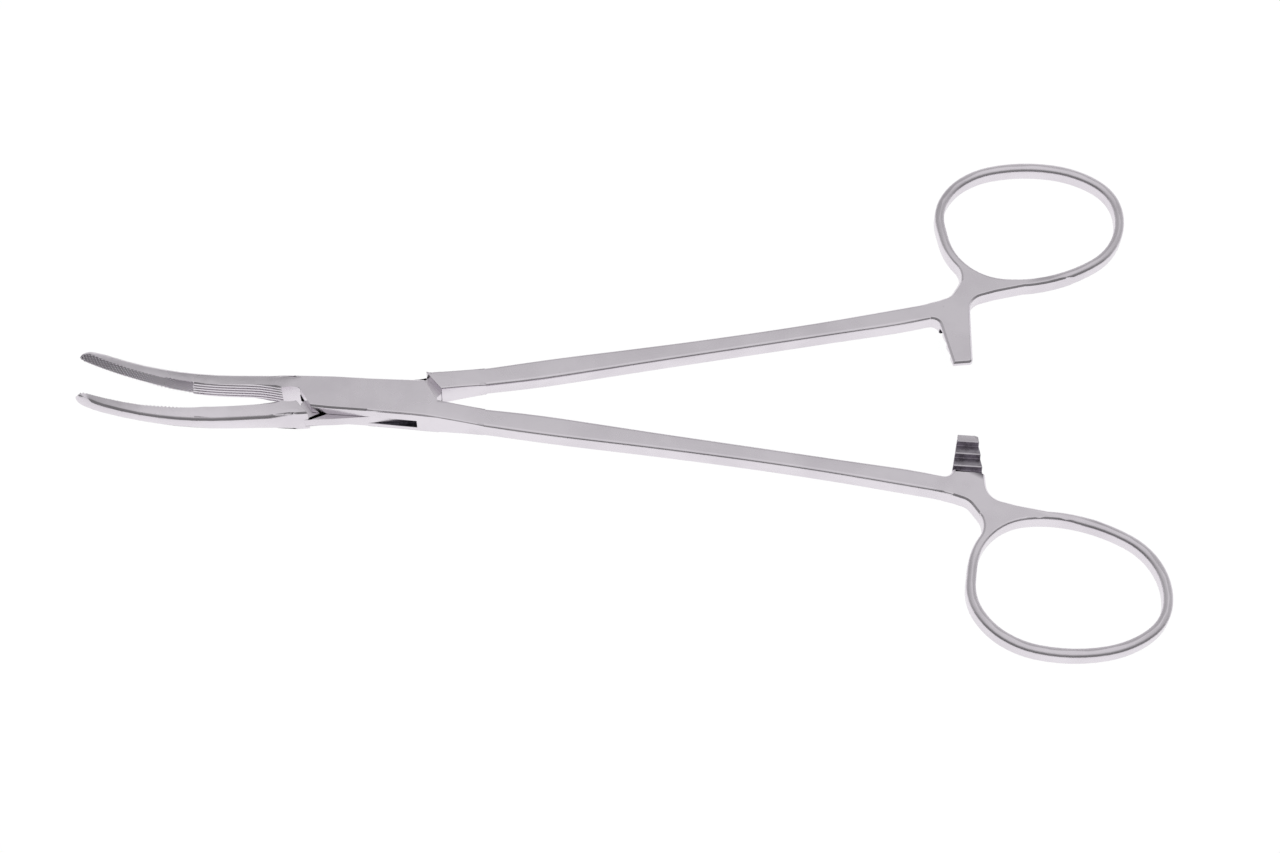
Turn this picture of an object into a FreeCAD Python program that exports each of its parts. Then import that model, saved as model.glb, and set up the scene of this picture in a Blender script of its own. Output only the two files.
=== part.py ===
import FreeCAD, Part
import math
import os

V = FreeCAD.Vector

# Frame in millimetres. The hinge pin's axis is x = 0, y = 0 and the underside of the box lock is z = 0.
# The jaws point to -X and the finger rings to +X. The far half of the handles lies at +Y.
# Each half is drawn with the jaws shut and then turned about the pin by half of the opening angle.

# Box lock
REST_OPENING = 9.0          # degrees between the halves as placed
BOX_THICK = 6.0
MID = BOX_THICK / 2
TONGUE_THICK = 2.2
TONGUE_CLEAR = 0.05         # above and below the tongue, in the slot
TONGUE_DROP = 0.5           # the tongue's middle lies this far below the middle of the box
CUT_NORMAL = 35.4           # degrees, direction across the slanted ends of the box plates
CUT_REACH = 10.45           # from the pin to each slanted end
SHOULDER_GAP = 0.75         # between a plate end and the shoulder of the other half
WALL_NORMAL = 134.1         # degrees, direction across the slot's two blind walls
WALL_REACH = 9.3            # from the pin to each blind wall
WALL_CLEAR = 0.15           # between the tongue and a blind wall
PIN_RADIUS = 1.6
PIN_CLEAR = 0.05            # running fit of the tongue on the pin
BLOCK = [(-12.85, 3.32), (-7, 3.6), (0, 3.65), (14, 4.1)]  # half width of the box along x

# Handles: the outer and inner edge of a shank, as (x, y) on the side y > 0
SHANK_THICK = 3.6
SHANK_OUTER = [(0, 3.65), (10, 3.9), (20.5, 4.6), (29, 5.4), (44, 6.5), (63, 7.8), (82, 9.5), (94, 10.85),
               (102, 11.85), (109, 12.95), (112.2, 13.9)]
SHANK_INNER = [(12.95, 0.15), (21, 0.75), (29, 1.15), (44, 2.55), (63, 4.4), (82, 6.2), (94, 7.35),
               (102, 8.15), (109.5, 9.3)]
TAPER_START = 11.0          # the box begins to thin out here
STEP_START = 20.8           # a small ground step begins here
STEP_END = 22.0             # and here the shank has its own thickness
STEP_HEIGHT = 0.13          # of the ground step, above and below
EDGE_CHAMFER = 0.4          # breaks the long edges of box, shanks, bars and rings
ARC_TOLERANCE = 0.05

# Finger rings: the hole's outline as (x, y), and the band round it
RING_HOLE = [(113.6, 30.6), (115.2, 36.6), (120.2, 40.9), (130.0, 42.7), (140.6, 40.3), (146.4, 35.0),
             (147.0, 28.6), (143.4, 22.15), (135.6, 18.05), (126.6, 16.75), (118.9, 18.8), (114.6, 24.2)]
RING_BAND = 1.75
RING_NECK = [(116.2, 19.4), (127.5, 15.1), (121.0, 14.15), (113.8, 12.5)]

# Ratchet bars: reach from the shank past the middle plane
BAR = [(108.8, 11.0), (110.35, -1.5), (114.1, -1.5), (115.7, 13.2)]
BAR_CORNER = 0.9
HANDLE_FILLETS = [((115.85, 18.9), 4.2), ((112.2, 13.9), 3.0), ((115.6, 12.9), 3.6), ((109.0, 9.2), 1.6)]
TEETH = 3
TOOTH_PITCH = 2.66
TOOTH_DEPTH = 0.9
TOOTH_BACK = 0.3            # run of the steep holding face
TOOTH_FIRST = 0.5           # first crest, past the middle plane
CREST = 0.3                 # flat top of a tooth
LEAD_RUN = 1.3              # the first ramp, from the tip side up to the first crest
LEAD_IN = 0.5               # and how far the bar's end drops below the tooth roots
TIP_CLEAR = 0.05            # each row of tips stops this far from the middle of the thickness

# Jaws: straight to the bend, then on an arc that rises in +Z
JAW_ROOT = 12.85            # the jaw leaves the box here, at the end of the block
JAW_LENGTH = 55.0           # from the pin, along the middle of the jaw
JAW_RISE = 0.2              # the middle of the jaw lies this far above the middle of the box
BEND_START = 26.0
BEND_RADIUS = 43.0
ROOT_BLEND = 6.0            # length over which the box's section turns into the jaw's
JAW_HALF_HEIGHT = 2.95      # at the root
JAW_END_HEIGHT = 1.55       # from HEIGHT_END to the tip
HEIGHT_END = 43.0
JAW_DEPTH = 3.3             # from the face to the ridge on the back, at the root
DEPTH_TAPER = 0.045         # lost per millimetre of length
RIDGE_HEIGHT = 0.78         # of the ridges above and below the middle, as part of the half height
BACK_BULGE = 0.22           # of the back past the ridges, as part of the half height
CROWN = 0.045               # rise of the upper and lower sides between their edges, likewise
TIP_LENGTH = 5.0            # the back closes towards the face over this length
TIP_ROUND = 1.6             # and the face is rounded over this length
FACE_GAP = 0.03             # from the middle plane to the crests of a jaw face
BEYOND = JAW_LENGTH + RING_HOLE[6][0]       # past the whole tool, for what only trims

# Jaw faces: diamond teeth at the end, lengthwise grooves behind them, then a smooth hollow
DIAMOND_LENGTH = 0.72
DIAMOND_HEIGHT = 0.88
DIAMOND_DEPTH = 0.3
DIAMOND_START = 33.2
GROOVE_START = 16.4
GROOVE_PITCH = 0.86
GROOVE_WIDTH = 0.5
GROOVE_DEPTH = 0.35
GROOVE_RELIEF = 0.5         # how far the grooved stretch is ground back at its deepest
RELIEF_AT = 21.5            # and where
HOLLOW_START = 12.6
HOLLOW_DEPTH = 0.5


def ease(k):
    """A smooth run from 0 to 1 while k goes from 0 to 1."""
    k = max(0.0, min(1.0, k))
    return k * k * (3 - 2 * k)


def jawPoint(s, t, y):
    """The point at length s along the jaw's middle line and height t above it."""
    level = MID + JAW_RISE * ease((s - JAW_ROOT) / ROOT_BLEND)
    if s <= BEND_START:
        return V(-s, y, level + t)
    turn = (s - BEND_START) / BEND_RADIUS
    r = BEND_RADIUS - t
    return V(-BEND_START - r * math.sin(turn), y, level + BEND_RADIUS - r * math.cos(turn))


def jawSection(s):
    """The wire of the section at length s, with its flat side just past the middle plane."""
    blend = 1 - ease((s - JAW_ROOT) / ROOT_BLEND)
    taper = max(0.0, min(1.0, (s - JAW_ROOT) / (HEIGHT_END - JAW_ROOT)))
    half = JAW_HALF_HEIGHT + (JAW_END_HEIGHT - JAW_HALF_HEIGHT) * taper
    depth = JAW_DEPTH - DEPTH_TAPER * max(0.0, s - JAW_ROOT)
    half += (MID - EDGE_CHAMFER / 50 - half) * blend
    rib = half * RIDGE_HEIGHT + (half - EDGE_CHAMFER - half * RIDGE_HEIGHT) * blend
    soft = EDGE_CHAMFER * (0.6 + 0.4 * blend)
    crown = half * CROWN * (1 - blend) + EDGE_CHAMFER / 50
    bulge = half * BACK_BULGE * (1 - blend) + EDGE_CHAMFER / 50
    left = max(0.0, JAW_LENGTH - s)
    close = math.sqrt(1 - (1 - min(1.0, 0.03 + left / TIP_LENGTH)) ** 2)
    trim = math.sqrt(1 - (1 - min(1.0, 0.1 + left / TIP_ROUND)) ** 2)
    depth, bulge, soft = depth * close, bulge * close, soft * close
    half, rib, crown = half * trim, rib * trim, crown * trim
    inner = rib + soft * (1 + blend) / 2
    edges = [Part.makeLine(jawPoint(s, -half, -FACE_GAP), jawPoint(s, half, -FACE_GAP))]
    for side in (1, -1):
        top = jawPoint(s, side * half, -FACE_GAP)
        middle = jawPoint(s, side * ((half + inner) / 2 + crown), (depth - soft) / 2)
        shoulder = jawPoint(s, side * inner, depth - soft)
        ridge = jawPoint(s, side * rib, depth)
        edges += [Part.Arc(top, middle, shoulder).toShape(), Part.makeLine(shoulder, ridge)]
    back = Part.Arc(jawPoint(s, rib, depth), jawPoint(s, 0, depth + bulge), jawPoint(s, -rib, depth))
    return Part.Wire(Part.__sortEdges__(edges + [back.toShape()]))


def polyhedron(faces):
    """A solid from lists of corner points, one list per plane face."""
    shell = Part.makeShell([Part.Face(Part.makePolygon(f + [f[0]])) for f in faces])
    shell.sewShape()
    return Part.makeSolid(shell)


def diamondCutter():
    """Everything in front of the diamond teeth: a grid of peaks and pits with flat sides."""
    along = DIAMOND_LENGTH / 2
    up = DIAMOND_HEIGHT / 2
    columns = int(math.ceil((JAW_LENGTH - DIAMOND_START) / along)) + 2
    rows = int(math.ceil(JAW_HALF_HEIGHT / up))
    front = -2 * DIAMOND_DEPTH

    def node(i, j):
        y = FACE_GAP if (i + j) % 2 == 0 else FACE_GAP + DIAMOND_DEPTH
        return jawPoint(DIAMOND_START + i * along, j * up, y)

    def outside(i, j):
        return jawPoint(DIAMOND_START + i * along, j * up, front)

    faces = []
    for i in range(columns):
        for j in range(-rows, rows):
            a, b, c, d = node(i, j), node(i + 1, j), node(i + 1, j + 1), node(i, j + 1)
            if (i + j) % 2 == 0:
                faces += [[a, b, d], [b, c, d]]
            else:
                faces += [[a, b, c], [a, c, d]]
        for j in (-rows, rows):
            faces.append([node(i, j), node(i + 1, j), outside(i + 1, j), outside(i, j)])
    for i in (0, columns):
        faces.append([node(i, j) for j in range(-rows, rows + 1)] + [outside(i, rows), outside(i, -rows)])
    faces.append([outside(i, -rows) for i in range(columns + 1)]
                 + [outside(i, rows) for i in range(columns, -1, -1)])
    return polyhedron(faces)


def grooveCutter():
    """Everything in front of the grooved stretch: narrow V grooves between flats, ground back in a hollow."""
    count = int(math.ceil(JAW_HALF_HEIGHT / GROOVE_PITCH))
    stops = [GROOVE_START + (DIAMOND_START - GROOVE_START) * k / 8 for k in range(9)]
    profiles = []
    for s in stops:
        if s < RELIEF_AT:
            sunk = GROOVE_RELIEF * ease((s - GROOVE_START) / (RELIEF_AT - GROOVE_START) * 0.7 + 0.3)
        else:
            sunk = GROOVE_RELIEF * (DIAMOND_START - s) / (DIAMOND_START - RELIEF_AT)
        face = FACE_GAP + sunk
        points = [jawPoint(s, -(count + 0.5) * GROOVE_PITCH, -2 * DIAMOND_DEPTH)]
        for k in range(-count, count + 1):
            t = (k - 0.5) * GROOVE_PITCH
            points.append(jawPoint(s, t, face))
            points.append(jawPoint(s, t + GROOVE_PITCH - GROOVE_WIDTH, face))
            points.append(jawPoint(s, t + GROOVE_PITCH - GROOVE_WIDTH / 2, face + GROOVE_DEPTH))
        points.append(jawPoint(s, (count + 0.5) * GROOVE_PITCH, face))
        points.append(jawPoint(s, (count + 0.5) * GROOVE_PITCH, -2 * DIAMOND_DEPTH))
        profiles.append(Part.makePolygon(points + [points[0]]))
    return Part.makeLoft(profiles, True, True)


def hollowCutter():
    """The smooth hollow between the grooves and the box."""
    chord = GROOVE_START - HOLLOW_START
    radius = (chord ** 2 / 4 + HOLLOW_DEPTH ** 2) / (2 * HOLLOW_DEPTH)
    x = -(GROOVE_START + HOLLOW_START) / 2
    scoop = Part.makeCylinder(radius, 4 * BOX_THICK, V(x, HOLLOW_DEPTH - radius, -BOX_THICK), V(0, 0, 1))
    front = Part.makeBox(2 * chord, FACE_GAP + HOLLOW_DEPTH, 4 * BOX_THICK,
                         V(-GROOVE_START, -HOLLOW_DEPTH, -BOX_THICK))
    return [scoop, front]


def jaw():
    """A jaw on the side y > 0."""
    stops = [JAW_ROOT - EDGE_CHAMFER * 5] + [JAW_ROOT + ROOT_BLEND * k / 4 for k in range(5)]
    spans = 5
    stops += [BEND_START + (HEIGHT_END - BEND_START) * k / spans for k in range(spans + 1)]
    stops += [HEIGHT_END + (JAW_LENGTH - TIP_LENGTH - HEIGHT_END) * k / 2 for k in (1, 2)]
    stops += [JAW_LENGTH - TIP_LENGTH * k for k in (0.75, 0.5, 0.32, 0.18, 0.07, 0)]
    body = Part.makeLoft([jawSection(s) for s in stops], True, True)
    return body.cut([diamondCutter(), grooveCutter()] + hollowCutter())


def arcs(points, closed=False):
    """A smooth run of tangent arcs through the given places in plan."""
    curve = Part.BSplineCurve()
    curve.interpolate([V(x, y, 0) for x, y in points], PeriodicFlag=closed)
    return [arc.toShape() for arc in curve.toBiArcs(ARC_TOLERANCE)]


def path(points):
    return [Part.makeLine(V(*a, 0), V(*b, 0)) for a, b in zip(points, points[1:])]


def slab(edges, low=0, high=BOX_THICK):
    """A plate with the outline made by the given edges, from z = low to z = high."""
    face = Part.Face(Part.Wire(Part.__sortEdges__(edges)))
    face.translate(V(0, 0, low))
    return face.extrude(V(0, 0, high - low))


def strip(normal, low, high):
    """All points whose distance from the pin along a direction in plan is between low and high."""
    box = Part.makeBox(high - low, 2 * BEYOND, 2 * BEYOND, V(low, -BEYOND, -BEYOND))
    box.rotate(V(0, 0, 0), V(0, 0, 1), normal)
    return box


def uprights(shape, spot, reach=BOX_THICK / 10):
    """The vertical edges of a shape that stand close to a place in plan."""
    found = []
    for edge in shape.Edges:
        a, b = edge.Vertexes[0].Point, edge.Vertexes[-1].Point
        if abs(a.x - b.x) + abs(a.y - b.y) < 1e-4 and math.hypot(a.x - spot[0], a.y - spot[1]) < reach:
            found.append(edge)
    return found


def ringOutlines():
    """The finger hole's outline, and the outline of the band round it."""
    hole = Part.BSplineCurve()
    hole.interpolate([V(x, y, 0) for x, y in RING_HOLE], PeriodicFlag=True)
    band = []
    span = hole.LastParameter - hole.FirstParameter
    for k in range(16):
        at = hole.FirstParameter + span * k / 16
        way = hole.tangent(at)[0]
        edge = hole.value(at) + V(-way.y, way.x, 0) * RING_BAND
        band.append((edge.x, edge.y))
    return arcs(RING_HOLE, True), arcs(band, True)


def handle():
    """Shank, ratchet bar and finger ring on the side y > 0, with the bar at the full thickness."""
    shank = slab(arcs(SHANK_OUTER) + arcs(SHANK_INNER)
                 + path([SHANK_OUTER[0], (0, SHANK_INNER[0][1]), SHANK_INNER[0]])
                 + path([SHANK_OUTER[-1]] + RING_NECK + [SHANK_INNER[-1]]))
    bar = slab(path(BAR + [BAR[0]]))
    bar = bar.makeFillet(BAR_CORNER, uprights(bar, BAR[2]))
    hole, band = ringOutlines()
    body = shank.fuse([bar, slab(band)]).removeSplitter().Solids[0]
    for spot, radius in HANDLE_FILLETS:
        body = body.makeFillet(radius, uprights(body, spot))
    body = body.cut(slab(hole))
    drop = (BOX_THICK - SHANK_THICK) / 2
    level = BOX_THICK - drop
    thin = body.common(Part.makeBox(2 * BEYOND, 2 * BEYOND, SHANK_THICK, V(-BEYOND, -BEYOND, drop)))
    rims = []
    for edge in thin.Edges:
        box = edge.BoundBox
        flat = box.ZLength < 1e-4 and min(abs(box.ZMin - drop), abs(box.ZMin - level)) < 1e-4
        if flat and box.XMax > STEP_END + EDGE_CHAMFER:
            rims.append(edge)
    thin = thin.makeChamfer(EDGE_CHAMFER, rims)
    side = [(-BEYOND, 0), (TAPER_START, 0), (STEP_START, drop - STEP_HEIGHT), (STEP_END, drop)]
    side += [(x, BOX_THICK - z) for x, z in reversed(side)] + [side[0]]
    profile = Part.Face(Part.makePolygon([V(x, -BEYOND, z) for x, z in side])).extrude(V(0, 2 * BEYOND, 0))
    return thin.fuse(body.common(profile)).removeSplitter().Solids[0]


def toothCutter():
    """Everything above the teeth of the near bar, whose crests lie just below the middle plane."""
    top = MID - TIP_CLEAR
    root = top - TOOTH_DEPTH
    crest = TOOTH_FIRST
    above = MID + BOX_THICK
    profile = [(crest + 2 * TOOTH_PITCH, above), (crest + 2 * TOOTH_PITCH, root - LEAD_IN), (crest + LEAD_RUN, root)]
    for k in range(TEETH):
        profile.append((crest + CREST, top))
        profile.append((crest, top))
        profile.append((crest - TOOTH_BACK, root))
        crest -= TOOTH_PITCH
    profile += [(crest + CREST, top), (crest + CREST, above)]
    points = [V(BAR[0][0] - TOOTH_PITCH, y, z) for y, z in profile]
    return Part.Face(Part.makePolygon(points + [points[0]])).extrude(V(4 * TOOTH_PITCH, 0, 0))


def mirrored(shape):
    return shape.mirror(V(0, 0, 0), V(0, 1, 0))


def turned(shape, angle):
    """A copy turned about the pin's axis."""
    copy = shape.copy()
    copy.rotate(V(0, 0, 0), V(0, 0, 1), angle)
    return copy


def single(shape):
    return shape.removeSplitter().Solids[0]


def build():
    side = jaw()
    grip = handle()
    block = slab(path(BLOCK + [(x, -y) for x, y in reversed(BLOCK)] + [BLOCK[0]]))
    sides = [e for e in block.Edges if e.BoundBox.ZLength < 1e-4 and e.BoundBox.XLength > 1e-4]
    block = block.makeChamfer(EDGE_CHAMFER, sides)
    under = MID - TONGUE_DROP - TONGUE_THICK / 2
    layer = Part.makeBox(2 * BEYOND, 2 * BEYOND, TONGUE_THICK, V(-BEYOND, -BEYOND, under))
    slot = Part.makeBox(2 * BEYOND, 2 * BEYOND, TONGUE_THICK + 2 * TONGUE_CLEAR,
                        V(-BEYOND, -BEYOND, under - TONGUE_CLEAR))
    hole = Part.makeCylinder(PIN_RADIUS, 3 * BOX_THICK, V(0, 0, -BOX_THICK))
    loose = Part.makeCylinder(PIN_RADIUS + PIN_CLEAR, 3 * BOX_THICK, V(0, 0, -BOX_THICK))

    plates = block.common(strip(CUT_NORMAL, -CUT_REACH, CUT_REACH))
    boxHalf = plates.fuse(mirrored(grip).cut(toothCutter())).fuse(side)
    boxHalf = single(boxHalf.cut([slot.common(strip(WALL_NORMAL, -WALL_REACH, WALL_REACH)), hole]))

    shoulder = CUT_REACH + SHOULDER_GAP
    tongue = block.common(strip(WALL_NORMAL, WALL_CLEAR - WALL_REACH, WALL_REACH - WALL_CLEAR))
    tongue = tongue.common(strip(CUT_NORMAL, -shoulder - SHOULDER_GAP, shoulder + SHOULDER_GAP)).common(layer)
    jawRoot = mirrored(side).cut(strip(CUT_NORMAL, -shoulder, BEYOND))
    shankRoot = grip.cut(strip(CUT_NORMAL, -BEYOND, shoulder))
    tongueHalf = tongue.fuse(jawRoot).fuse(shankRoot)
    flipped = toothCutter()
    flipped.rotate(V(0, 0, MID), V(1, 0, 0), 180)
    tongueHalf = single(tongueHalf.cut([flipped, loose]))

    pin = Part.makeCylinder(PIN_RADIUS, BOX_THICK, V(0, 0, 0))
    return {"box_half": turned(boxHalf, -REST_OPENING / 2),
            "tongue_half": turned(tongueHalf, REST_OPENING / 2),
            "box_lock_pin": pin}


os.makedirs("parts", exist_ok=True)
for name, shape in build().items():
    shape.exportStep("parts/" + name + ".step")
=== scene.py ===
import bpy
import bmesh
import math
from mathutils import Matrix, Vector
from mathutils.bvhtree import BVHTree


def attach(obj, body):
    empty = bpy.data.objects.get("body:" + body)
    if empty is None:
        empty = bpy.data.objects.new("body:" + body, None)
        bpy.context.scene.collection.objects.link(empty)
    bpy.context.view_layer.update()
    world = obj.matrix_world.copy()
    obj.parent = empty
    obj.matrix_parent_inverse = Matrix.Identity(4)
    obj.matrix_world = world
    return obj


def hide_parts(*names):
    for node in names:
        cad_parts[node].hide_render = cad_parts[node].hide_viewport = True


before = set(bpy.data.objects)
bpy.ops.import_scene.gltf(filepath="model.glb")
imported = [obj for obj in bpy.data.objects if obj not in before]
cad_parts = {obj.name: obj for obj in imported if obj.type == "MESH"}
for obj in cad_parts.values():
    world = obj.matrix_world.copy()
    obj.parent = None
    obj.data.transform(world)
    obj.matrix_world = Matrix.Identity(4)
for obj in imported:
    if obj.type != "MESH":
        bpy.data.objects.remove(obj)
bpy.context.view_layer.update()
print("frame loaded:", sorted(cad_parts))


# helpers for the shaders

def newGroup(name, inputs, outputs):
    group = bpy.data.node_groups.new(name, "ShaderNodeTree")
    for label, kind, value in inputs:
        socket = group.interface.new_socket(name=label, in_out="INPUT", socket_type=kind)
        socket.default_value = value
    for label, kind in outputs:
        group.interface.new_socket(name=label, in_out="OUTPUT", socket_type=kind)
    return group, group.nodes.new("NodeGroupInput"), group.nodes.new("NodeGroupOutput")


def addMath(tree, operation, *values):
    node = tree.nodes.new("ShaderNodeMath")
    node.operation = operation
    for socket, value in zip(node.inputs, values):
        if isinstance(value, (int, float)):
            socket.default_value = value
        else:
            tree.links.new(value, socket)
    return node.outputs[0]


def addRange(tree, value, low, high, toLow, toHigh):
    node = tree.nodes.new("ShaderNodeMapRange")
    for label, number in (("From Min", low), ("From Max", high), ("To Min", toLow), ("To Max", toHigh)):
        node.inputs[label].default_value = number
    tree.links.new(value, node.inputs["Value"])
    return node.outputs["Result"]


def addMix(tree, factor, first, second):
    # blends two colours; each is three numbers or the output of a node
    node = tree.nodes.new("ShaderNodeMix")
    node.data_type = "RGBA"
    tree.links.new(factor, node.inputs["Factor"])
    for label, value in (("A", first), ("B", second)):
        if isinstance(value, tuple):
            node.inputs[label].default_value = value + (1,)
        else:
            tree.links.new(value, node.inputs[label])
    return node.outputs["Result"]


# grain of blasted steel: fine noise for the bumps, broad clouds for the tone and a few pits
grainLook = {
    "sizes": {"Grain Size": 0.0003, "Cloud Size": 0.012, "Speck Size": 0.002},
    "noises": (("Grain Size", "Grain", 2.0), ("Cloud Size", "Cloud", 3.0)),
    "noiseRoughness": 0.6,
    "pitEdge": (0.03, 0.09),
    "pitsAbove": 0.72,  # of the random tone of each cell, so that only some cells have a pit
}


def makeGrain(look):
    group, start, end = newGroup(
        "satinGrain",
        [(label, "NodeSocketFloat", size) for label, size in look["sizes"].items()],
        [(label, "NodeSocketFloat") for label in ("Grain", "Cloud", "Speck")])
    place = group.nodes.new("ShaderNodeTexCoord")
    for label, output, detail in look["noises"]:
        noise = group.nodes.new("ShaderNodeTexNoise")
        noise.inputs["Detail"].default_value = detail
        noise.inputs["Roughness"].default_value = look["noiseRoughness"]
        group.links.new(addMath(group, "DIVIDE", 1.0, start.outputs[label]), noise.inputs["Scale"])
        group.links.new(place.outputs["Object"], noise.inputs["Vector"])
        group.links.new(noise.outputs["Fac"], end.inputs[output])
    cells = group.nodes.new("ShaderNodeTexVoronoi")
    group.links.new(addMath(group, "DIVIDE", 1.0, start.outputs["Speck Size"]), cells.inputs["Scale"])
    group.links.new(place.outputs["Object"], cells.inputs["Vector"])
    near = addRange(group, cells.outputs["Distance"], *look["pitEdge"], 1.0, 0.0)
    split = group.nodes.new("ShaderNodeSeparateColor")
    group.links.new(cells.outputs["Color"], split.inputs[0])
    chosen = addMath(group, "GREATER_THAN", split.outputs[0], look["pitsAbove"])
    group.links.new(addMath(group, "MULTIPLY", near, chosen), end.inputs["Speck"])
    return group


grainGroup = makeGrain(grainLook)

# satin steel; its darkest tone is painted shade at the bottoms of teeth and grooves, and a range says between
# which values of the clouds or the painted recess shade a change of tone or roughness runs
satin = {
    "light": (0.80, 0.76, 0.81),
    "dark": (0.72, 0.68, 0.73),
    "speck": (0.40, 0.37, 0.40),
    "speckShare": 0.22,
    "paintedShade": (0.08, 0.07, 0.09),
    "paintedShadeShare": 0.85,
    "roughness": 0.27,
    "roughSpread": 0.05,
    "grainSize": 0.00016,
    "cloudSize": 0.011,
    "speckSize": 0.0026,
    "bump": 0.05,
    "bumpDepth": 0.00003,
    "toneRange": (0.35, 0.62),
    "paintedShadeRange": (0.4, 0.9),
    "roughRange": (0.3, 0.7),
}


def makeSatin(name, look):
    material = bpy.data.materials.new(name)
    material.use_nodes = True
    tree = material.node_tree
    shader = tree.nodes["Principled BSDF"]
    shader.inputs["Metallic"].default_value = 1.0
    grain = tree.nodes.new("ShaderNodeGroup")
    grain.node_tree = grainGroup
    for label, key in (("Grain Size", "grainSize"), ("Cloud Size", "cloudSize"), ("Speck Size", "speckSize")):
        grain.inputs[label].default_value = look[key]
    cloud = grain.outputs["Cloud"]
    tone = addMix(tree, addRange(tree, cloud, *look["toneRange"], 0.0, 1.0), look["dark"], look["light"])
    pits = addMath(tree, "MULTIPLY", grain.outputs["Speck"], look["speckShare"])
    # painted shade: the steel turns darker the further down a point lies in teeth and grooves
    recessShade = tree.nodes.new("ShaderNodeAttribute")
    recessShade.attribute_name = "recessShade"
    sunk = addRange(tree, recessShade.outputs["Fac"], *look["paintedShadeRange"], 0.0, look["paintedShadeShare"])
    colour = addMix(tree, sunk, addMix(tree, pits, tone, look["speck"]), look["paintedShade"])
    tree.links.new(colour, shader.inputs["Base Color"])
    low, high = look["roughness"] - look["roughSpread"], look["roughness"] + look["roughSpread"]
    tree.links.new(addRange(tree, cloud, *look["roughRange"], low, high), shader.inputs["Roughness"])
    bump = tree.nodes.new("ShaderNodeBump")
    bump.inputs["Strength"].default_value = look["bump"]
    bump.inputs["Distance"].default_value = look["bumpDepth"]
    tree.links.new(grain.outputs["Grain"], bump.inputs["Height"])
    tree.links.new(bump.outputs["Normal"], shader.inputs["Normal"])
    return material


satinSteel = makeSatin("satinSteel", satin)
# painted shade: a near-black steel for the slot's inner faces, which lie in shade
slotShadeSteel = makeSatin("slotShadeSteel", {**satin, "light": (0.16, 0.15, 0.18), "dark": (0.05, 0.05, 0.06),
                                    "roughness": 0.45, "cloudSize": 0.0012})
flankSteel = makeSatin("flankSteel", {**satin, "light": (0.42, 0.39, 0.44), "dark": (0.25, 0.23, 0.26),
                                      "roughness": 0.3, "cloudSize": 0.0015})
# painted shade: a darker steel for the strips at the shank's small step
stepShadeSteel = makeSatin("stepShadeSteel", {**satin, "light": (0.66, 0.63, 0.67), "dark": (0.56, 0.53, 0.57)})
halfSteels = [satinSteel, slotShadeSteel, flankSteel, stepShadeSteel]
slotShadePlace, flankPlace, stepShadePlace = 1, 2, 3  # of these steels in the list
print("steel done")


def addPiece(name, form, materials):
    # makes an object from the form, which is used up by this
    mesh = bpy.data.meshes.new(name)
    form.to_mesh(mesh)
    form.free()
    for material in materials:
        mesh.materials.append(material)
    piece = bpy.data.objects.new(name, mesh)
    bpy.context.scene.collection.objects.link(piece)
    return piece


# both halves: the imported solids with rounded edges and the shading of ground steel
halves = {
    "nodes": {"box_half": ("box_body", math.radians(-4.5)),
              "tongue_half": ("tongue_body", math.radians(4.5))},
    # cleaning: points that are one, points a hair off the two flats, and flat faces cut in parts
    "mergeGap": 1e-6,
    "levels": (0.0, 0.006),
    "levelGap": 0.00003,
    "flatAngle": 0.002,
    # rounded edges along the box and the tapered shank
    "sideAngle": math.radians(70),
    "sideSpan": {"box_half": (-0.0005, 0.0226), "tongue_half": (0.0114, 0.0226)},
    "sideLean": 3,  # how many times longer along the tool than across or up
    "outerTilt": 0.9,
    "outerShare": 0.55,
    "sideRadius": 0.0004,
    "sideSteps": 3,
    # rounded edges of the chamfers on rings and shanks
    "shank": (0.0215, 0.1075),
    "rimAlong": 0.8,
    "ringRadius": 0.00024,
    "ringSteps": 3,
    # all other edges that are rounded, and what the rounding leaves outside the solid
    "edgeAngle": math.radians(32),
    "edgeRadius": 0.0001,
    "edgeSteps": 2,
    "toothedFrom": -0.0130,
    "boreReach": 0.0018,
    "spikeGap": 0.00002,
    # shading: edges that stay sharp, and faces that count as one flat
    "sharpAngle": math.radians(38),
    "evenAngle": math.radians(0.6),
    # recesses, which get painted shade: the jaw's teeth and grooves end here, the ratchet starts there
    "groovesFrom": -0.0170,
    "barFrom": 0.104,
    "deepAngle": 1.0,
    "taper": {"from": 0.011, "length": 0.0098, "drop": 0.00107},
    "step": (0.0208, 0.0220),
    "stepTilt": 0.95,
    "slot": (0.00134, 0.00366, 0.0135),
    "ring": {"from": 0.1115, "above": 0.0165, "middle": (0.1303, 0.0297), "neck": math.radians(235),
             "clear": math.radians(30), "full": math.radians(50), "cuts": 24, "heights": (0.0012, 0.0048),
             "loops": (0.0009, 0.0015), "roundHeight": 0.0015, "topTilt": 0.93, "leastWall": 1e-12},
    "jaw": {"from": -0.0140, "diamonds": -0.03317, "ridgeDepth": 0.0012, "ridgeAngle": math.radians(15),
            "ridgeAlong": 0.6, "ridgeRadius": 0.0005, "ridgeSteps": 4, "faceDepth": 0.0011, "faceTilt": 0.3,
            "grooveShare": 0.85, "grooveFlat": 0.4},
    "bar": {"across": (0.1075, 0.117), "along": (-0.0075, 0.00082), "heights": (0.0019, 0.00485),
            "shift": -0.0009, "middle": 0.1122, "spread": 0.000105 / 0.0026,
            "flankReach": (-0.0084, 0.0), "flankHeights": (0.0019, 0.0031), "tilts": (0.1, 0.97)},
}


def isPlain(edge, look):
    # true away from the jaws and the pin's bore, whose edges stay crisp
    a, b = edge.verts[0].co, edge.verts[1].co
    if max(a.x, b.x) < look["toothedFrom"]:
        return False
    return min(math.hypot(a.x, a.y), math.hypot(b.x, b.y)) > look["boreReach"]


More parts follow.
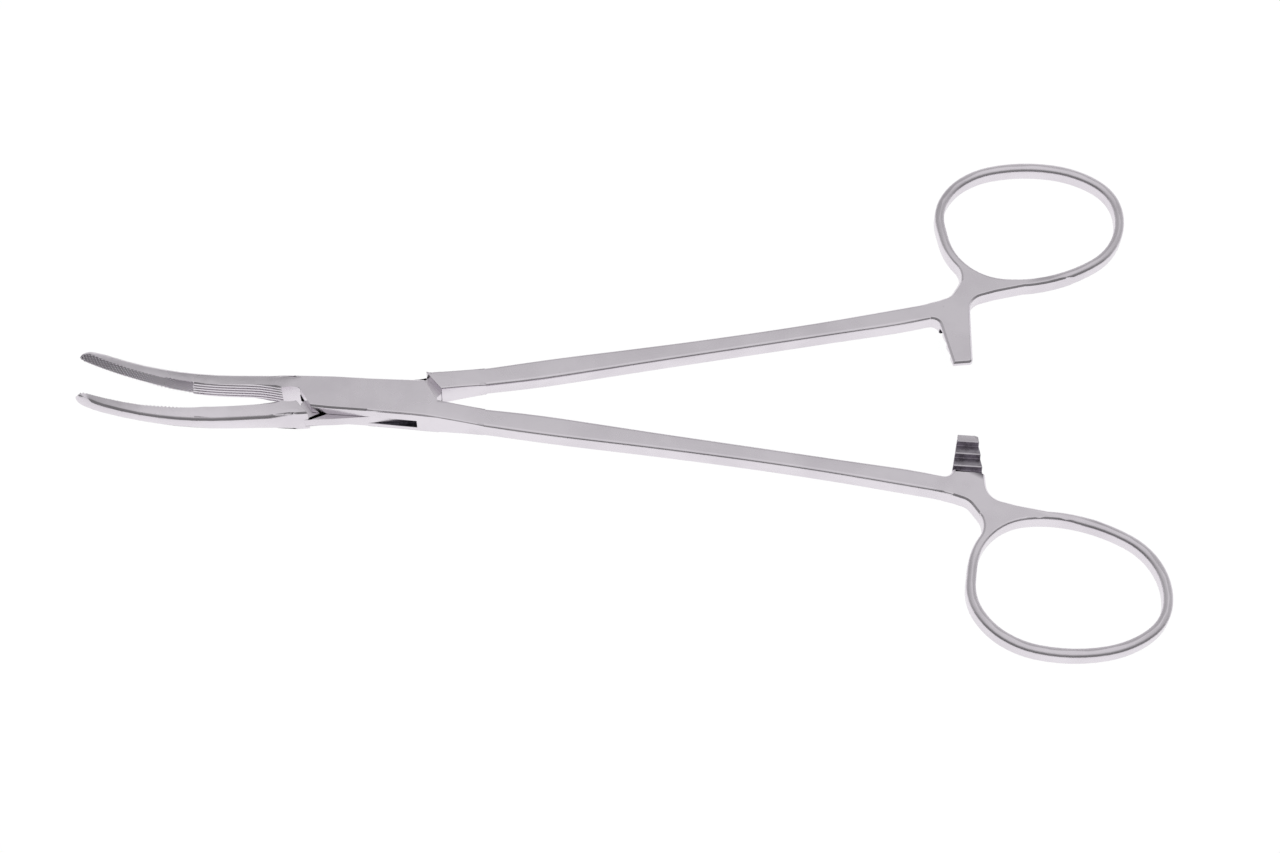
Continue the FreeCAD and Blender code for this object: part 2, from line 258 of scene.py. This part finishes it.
def isSide(edge, look, name):
    # true for the long edges of box and tapered shank, which the solids leave square
    a, b = edge.verts[0].co, edge.verts[1].co
    low, high = look["sideSpan"][name]
    lean = look["sideLean"]
    along = abs(a.x - b.x) > lean * abs(a.z - b.z) and abs(a.x - b.x) > lean * abs(a.y - b.y)
    tilts = [face.normal.z for face in edge.link_faces]
    outer = max(tilts) > look["outerTilt"] or min(tilts) < -look["outerTilt"]
    middle = (look["levels"][0] + look["levels"][1]) / 2
    outer = outer and abs((a.z + b.z) / 2 - middle) > middle * look["outerShare"]
    clear = min(math.hypot(a.x, a.y), math.hypot(b.x, b.y)) > look["boreReach"]
    return along and outer and clear and low < min(a.x, b.x) and max(a.x, b.x) < high


def fans(vert, sharp):
    # the corners round a point, in groups that no sharp edge divides
    left = list(vert.link_loops)
    while left:
        queue = [left.pop()]
        fan = []
        while queue:
            corner = queue.pop()
            fan.append(corner)
            for edge in (corner.edge, corner.link_loop_prev.edge):
                if edge in sharp:
                    continue
                for other in [c for c in left if c.face in edge.link_faces]:
                    left.remove(other)
                    queue.append(other)
        yield fan


def evenAreas(form, look):
    # the size of the flat patch that each face is part of
    cosine = math.cos(look["evenAngle"])
    areas = {}
    for seed in form.faces:
        if seed in areas:
            continue
        patch = [seed]
        known = {seed}
        for face in patch:
            for edge in face.edges:
                for other in edge.link_faces:
                    if other not in known and other not in areas and other.normal.dot(seed.normal) > cosine:
                        known.add(other)
                        patch.append(other)
        size = sum(face.calc_area() for face in patch)
        for face in patch:
            areas[face] = size
    return areas


def groundNormals(form, look, side):
    # corner normals that keep each flat flat, let the narrow strips between them turn and round the rings
    form.normal_update()
    areas = evenAreas(form, look)
    sharp = {e for e in form.edges if e.calc_face_angle(0.0) > look["sharpAngle"]}
    normals = {}
    ring, jaw = look["ring"], look["jaw"]
    for vert in form.verts:
        share, goal = 0.0, None
        if isOnRing(vert.co, ring) and vert.co.z > sum(ring["heights"]) / 2:
            share, goal = ringPlace(vert.co, ring), ringNormal(vert, ring)
        elif jaw["diamonds"] < vert.co.x < look["groovesFrom"] and abs(vert.co.y) < jaw["faceDepth"]:
            share, goal = jaw["grooveFlat"], Vector((0, side, 0))
        for fan in fans(vert, sharp):
            total = Vector()
            for face in dict.fromkeys(corner.face for corner in fan):
                total += face.normal * areas[face]
            total.normalize()
            if goal and share and (vert.co.x > 0 or total.dot(goal) > jaw["faceTilt"]):
                total = total.lerp(goal, share).normalized()
            for corner in fan:
                normals[corner] = total
    return [normals[corner] for face in form.faces for corner in face.loops]


def ringPlace(point, ring):
    # how far round the ring from its neck a point lies, as a share from 0 at the neck to 1 clear of it
    middle = Vector((ring["middle"][0], math.copysign(ring["middle"][1], point.y), 0))
    reach = point - middle
    turn = math.atan2(abs(middle.y + reach.y) - abs(middle.y), reach.x) - ring["neck"]
    turn = abs((turn + math.pi) % (2 * math.pi) - math.pi)
    share = min(max((turn - ring["clear"]) / (ring["full"] - ring["clear"]), 0.0), 1.0)
    return share * share * (3 - 2 * share)


def isOnRing(point, ring):
    return point.x > ring["from"] and abs(point.y) > ring["above"]


def cutRings(form, look):
    # loops round each ring's walls and cuts across its band, to carry the round shading
    ring = look["ring"]
    low, high = ring["heights"]
    planes = [((0, 0, level), (0, 0, 1)) for reach in ring["loops"] for level in (low + reach, high - reach)]
    side = 1 if sum(v.co.y for v in form.verts if v.co.x > ring["from"]) > 0 else -1
    middle = (ring["middle"][0], side * ring["middle"][1], 0)
    for k in range(ring["cuts"]):
        turn = math.pi * k / ring["cuts"]
        planes.append((middle, (math.sin(turn), math.cos(turn), 0)))
    for place, direction in planes:
        faces = [f for f in form.faces if all(isOnRing(v.co, ring) for v in f.verts)]
        # dict.fromkeys keeps the mesh's order, where the order of a set would change from run to run
        parts = faces + list(dict.fromkeys(e for f in faces for e in f.edges))
        parts += list(dict.fromkeys(v for f in faces for v in f.verts))
        bmesh.ops.bisect_plane(form, geom=parts, dist=look["mergeGap"], plane_co=place, plane_no=direction)


def isRim(edge, look):
    # true for the chamfers' edges on rings and shanks, which are ground round
    if all(isOnRing(v.co, look["ring"]) for v in edge.verts):
        return True
    long = abs(edge.verts[0].co.x - edge.verts[1].co.x) > look["rimAlong"] * edge.calc_length()
    handle = all(look["shank"][0] < v.co.x < look["shank"][1] for v in edge.verts)
    return handle and long and edge.calc_face_angle(0.0) < look["sideAngle"]


def trimSpikes(form, solid, look):
    # brings points that a bevel has thrown outside the solid back to its surface
    for vert in form.verts:
        place, normal, _, gap = solid.find_nearest(vert.co)
        if gap > look["spikeGap"] and (vert.co - place).dot(normal) > 0:
            vert.co = place


def markStepShade(form, look):
    # gives the narrow strips at the edges of the shank's small ground step a darker steel as painted shade
    for face in form.faces:
        place = face.calc_center_median()
        if look["step"][0] < place.x < look["step"][1] and face.normal.z > look["stepTilt"]:
            face.material_index = stepShadePlace


def ringNormal(vert, ring):
    # the normal of a band with a round section, from the height of the point on it
    outward = Vector()
    for face in vert.link_faces:
        outward += Vector((face.normal.x, face.normal.y, 0)) * face.calc_area()
    if outward.length < ring["leastWall"]:
        return None
    low, high = ring["heights"]
    depth = min(vert.co.z - low, high - vert.co.z)
    rise = ring["topTilt"] * max(1 - max(depth, 0.0) / ring["roundHeight"], 0.0)
    rise = math.copysign(rise, vert.co.z - (low + high) / 2)
    return outward.normalized() * math.sqrt(1 - rise * rise) + Vector((0, 0, rise))


def thinPlates(form, look):
    # lets the ends of the box plates run out with the taper of the shanks
    taper = look["taper"]
    start, slope = taper["from"], taper["drop"] / taper["length"]
    parts = form.verts[:] + form.edges[:] + form.faces[:]
    bmesh.ops.bisect_plane(form, geom=parts, dist=look["mergeGap"],
                           plane_co=(start, 0, 0), plane_no=(1, 0, 0))
    low, high = look["levels"]
    for vert in [v for v in form.verts if v.co.x > start]:
        sunk = min(vert.co.x - start, taper["length"]) * slope
        vert.co.z = min(max(vert.co.z, low + sunk), high - sunk)


def shiftTeeth(form, look, side):
    # sets the ratchet's teeth back along their bar, as in the photo; side is -1 for the near bar
    bar = look["bar"]
    for vert in form.verts:
        along = -side * vert.co.y
        height = vert.co.z if side < 0 else look["levels"][1] - vert.co.z
        inside = bar["across"][0] < vert.co.x < bar["across"][1] and bar["along"][0] < along < bar["along"][1]
        if inside and bar["heights"][0] < height < bar["heights"][1]:
            vert.co.y -= side * bar["shift"]
            vert.co.x += (vert.co.x - bar["middle"]) * bar["spread"]


def markSlotShade(form, look):
    # gives the inner faces of the slot a near-black steel as painted shade
    low, high, reach = look["slot"]
    for face in form.faces:
        if all(low < v.co.z < high and math.hypot(v.co.x, v.co.y) < reach for v in face.verts):
            face.material_index = slotShadePlace


def markFlanks(form, look, side):
    # gives the ramps and backs of the ratchet teeth a darker steel
    bar = look["bar"]
    for face in form.faces:
        place = face.calc_center_median()
        height = place.z if side < 0 else look["levels"][1] - place.z
        tilt = -side * face.normal.z
        inside = bar["across"][0] < place.x < bar["across"][1] and bar["flankReach"][0] < -side * place.y
        inside = inside and -side * place.y < bar["flankReach"][1] and bar["flankHeights"][0] < height
        if inside and height < bar["flankHeights"][1] and bar["tilts"][0] < tilt < bar["tilts"][1]:
            face.material_index = flankPlace


def markRecessShade(form, look):
    # writes how far down a point lies in teeth and grooves, from 0 at their crests up to 1, for the steel's
    # painted shade there
    layer = form.verts.layers.float.new("recessShade")
    for vert in form.verts:
        if look["groovesFrom"] < vert.co.x < look["barFrom"]:
            continue
        bend = sum(edge.calc_face_angle_signed(0.0) for edge in vert.link_edges)
        share = look["jaw"]["grooveShare"] if 0 > vert.co.x > look["jaw"]["diamonds"] else 1.0
        vert[layer] = min(max(-bend / look["deepAngle"], 0.0), 1.0) * share


def isRidge(edge, jaw):
    # true for the long ridges above and below the back of a jaw
    a, b = edge.verts[0].co, edge.verts[1].co
    if max(a.x, b.x) > jaw["from"] or min(abs(a.y), abs(b.y)) < jaw["ridgeDepth"]:
        return False
    long = abs(a.x - b.x) > jaw["ridgeAlong"] * (a - b).length
    return long and edge.calc_face_angle(0.0) > jaw["ridgeAngle"]


def bevel(form, edges, radius, steps):
    bmesh.ops.bevel(form, geom=edges, offset=radius, segments=steps, affect="EDGES",
                    profile=0.5, material=-1)


def dressHalf(name, look):
    # the half is worked on where it stands when shut, and then turned to the opening in the photo
    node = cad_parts[name]
    body, angle = look["nodes"][name]
    side = math.copysign(1, angle)
    form = bmesh.new()
    form.from_mesh(node.data)
    form.transform(Matrix.Rotation(-angle, 4, "Z") @ node.matrix_world)
    for vert in form.verts:
        for level in look["levels"]:
            if abs(vert.co.z - level) < look["levelGap"]:
                vert.co.z = level
    thinPlates(form, look)
    shiftTeeth(form, look, side)
    bmesh.ops.remove_doubles(form, verts=form.verts, dist=look["mergeGap"])
    bmesh.ops.dissolve_degenerate(form, dist=look["mergeGap"], edges=form.edges)
    bmesh.ops.dissolve_limit(form, angle_limit=look["flatAngle"], verts=form.verts, edges=form.edges)
    markRecessShade(form, look)
    form.normal_update()
    solid = BVHTree.FromBMesh(form)
    ridges = [e for e in form.edges if isRidge(e, look["jaw"])]
    bevel(form, ridges, look["jaw"]["ridgeRadius"], look["jaw"]["ridgeSteps"])
    form.normal_update()
    sides = [e for e in form.edges if e.calc_face_angle(0.0) > look["sideAngle"] and isSide(e, look, name)]
    bevel(form, sides, look["sideRadius"], look["sideSteps"])
    form.normal_update()
    edges = [e for e in form.edges if e.calc_face_angle(0.0) > look["edgeAngle"] and isPlain(e, look)]
    rims = [e for e in edges if isRim(e, look)]
    rimSet = set(rims)
    edges = [e for e in edges if e not in rimSet]
    bevel(form, rims, look["ringRadius"], look["ringSteps"])
    bevel(form, [e for e in edges if e.is_valid], look["edgeRadius"], look["edgeSteps"])
    trimSpikes(form, solid, look)
    form.normal_update()
    markStepShade(form, look)
    if name == "box_half":
        markSlotShade(form, look)
    markFlanks(form, look, side)
    cutRings(form, look)
    for face in form.faces:
        face.smooth = True
    turn = Matrix.Rotation(angle, 3, "Z")
    normals = [turn @ normal for normal in groundNormals(form, look, side)]
    form.transform(turn.to_4x4())
    piece = addPiece(name + "_dressed", form, halfSteels)
    piece.data.normals_split_custom_set(normals)
    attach(piece, body)
    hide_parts(name)
    print(name, "faces", len(piece.data.polygons))


for name in halves["nodes"]:
    dressHalf(name, halves)


# rivet: ground flush with the box, so its top laps the bore's rim by a hair and the seam is lost
rivet = {"radius": 0.0016, "lap": 0.00003, "rise": 0.000003, "height": 0.006, "steps": 96}


def makeRivet(look):
    form = bmesh.new()
    bmesh.ops.create_cone(form, cap_ends=True, segments=look["steps"], radius1=look["radius"],
                          radius2=look["radius"] + look["lap"], depth=look["height"] + look["rise"])
    bmesh.ops.translate(form, verts=form.verts, vec=(0, 0, (look["height"] + look["rise"]) / 2))
    piece = addPiece("box_lock_rivet", form, [satinSteel])
    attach(piece, "box_body")
    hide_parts("box_lock_pin")


makeRivet(rivet)
print("forceps done")


# white table: the camera sees it glow, and shadowShare of its own shading shows through
table = {"size": 6.0, "colour": (0.9, 0.9, 0.9), "white": 1.05, "shadowShare": 0.07}


def makeWhite(name, look):
    material = bpy.data.materials.new(name)
    material.use_nodes = True
    tree = material.node_tree
    tree.nodes.remove(tree.nodes["Principled BSDF"])
    plain = tree.nodes.new("ShaderNodeBsdfDiffuse")
    plain.inputs["Color"].default_value = look["colour"] + (1,)
    glow = tree.nodes.new("ShaderNodeEmission")
    glow.inputs["Strength"].default_value = look["white"]
    path = tree.nodes.new("ShaderNodeLightPath")
    seen = addMath(tree, "MAXIMUM", path.outputs["Is Camera Ray"], path.outputs["Is Glossy Ray"])
    seen = addMath(tree, "MAXIMUM", seen, path.outputs["Is Transmission Ray"])
    mix = tree.nodes.new("ShaderNodeMixShader")
    tree.links.new(addMath(tree, "MULTIPLY", seen, 1.0 - look["shadowShare"]), mix.inputs[0])
    tree.links.new(plain.outputs[0], mix.inputs[1])
    tree.links.new(glow.outputs[0], mix.inputs[2])
    tree.links.new(mix.outputs[0], tree.nodes["Material Output"].inputs["Surface"])
    return material


def makeTable(look):
    form = bmesh.new()
    bmesh.ops.create_grid(form, x_segments=1, y_segments=1, size=look["size"] / 2)
    floor = addPiece("table", form, [makeWhite("paleTable", look)])


makeTable(table)
print("table done")


# studio: a pale sheet above and behind, a grey band low down, darkest on the camera's side
studio = {
    "farSide": [(0.0, 0.95), (0.2, 0.62), (0.5, 0.44), (0.7, 0.58), (0.86, 0.72), (1.0, 0.84)],
    "nearSide": [(0.0, 0.26), (0.3, 0.2), (0.54, 0.2), (0.72, 0.4), (0.84, 0.85), (1.0, 0.84)],
    "sides": (-0.35, 0.15),
    "sideFall": (-0.9, 0.9, 0.86, 1.06),
}


def addRamp(tree, value, bands):
    ramp = tree.nodes.new("ShaderNodeValToRGB")
    stops = ramp.color_ramp.elements
    while len(stops) < len(bands):
        stops.new(0.5)
    for stop, (at, grey) in zip(stops, bands):
        stop.position = at
        stop.color = (grey, grey, grey, 1)
    tree.links.new(value, ramp.inputs[0])
    return ramp.outputs[0]


def makeStudio(look):
    world = bpy.data.worlds.new("studio")
    bpy.context.scene.world = world
    world.use_nodes = True
    tree = world.node_tree
    place = tree.nodes.new("ShaderNodeTexCoord")
    split = tree.nodes.new("ShaderNodeSeparateXYZ")
    tree.links.new(place.outputs["Generated"], split.inputs[0])
    nearTone = addRamp(tree, split.outputs["Z"], look["nearSide"])
    farTone = addRamp(tree, split.outputs["Z"], look["farSide"])
    tone = addMix(tree, addRange(tree, split.outputs["Y"], *look["sides"], 0.0, 1.0), nearTone, farTone)
    across = addRange(tree, split.outputs["X"], *look["sideFall"])
    grey = addMath(tree, "MULTIPLY", tone, across)
    seen = tree.nodes.new("ShaderNodeLightPath").outputs["Is Camera Ray"]
    tree.links.new(addMath(tree, "MAXIMUM", grey, seen), tree.nodes["Background"].inputs["Color"])


makeStudio(studio)
print("studio done")


# camera
shot = {
    "place": (0.044356, -0.258507, 0.417818),
    "right": (0.999909, -0.009597, 0.009434),
    "forward": (0.013051, 0.520546, -0.853734),
    "lens": 73.125,
    "sensor": 36.0,
    "nearest": 0.01,
}


def makeCamera(look):
    data = bpy.data.cameras.new("camera")
    data.sensor_fit = "HORIZONTAL"
    data.sensor_width = look["sensor"]
    data.lens = look["lens"]
    data.clip_start = look["nearest"]
    camera = bpy.data.objects.new("camera", data)
    forward = Vector(look["forward"]).normalized()
    right = Vector(look["right"])
    right = (right - forward * right.dot(forward)).normalized()
    up = right.cross(forward)
    turn = Matrix((right, up, -forward)).transposed()
    camera.matrix_world = Matrix.Translation(Vector(look["place"])) @ turn.to_4x4()
    bpy.context.scene.collection.objects.link(camera)
    bpy.context.scene.camera = camera


makeCamera(shot)
bpy.context.scene.view_settings.view_transform = "Standard"
print("camera done")

bpy.context.view_layer.update()
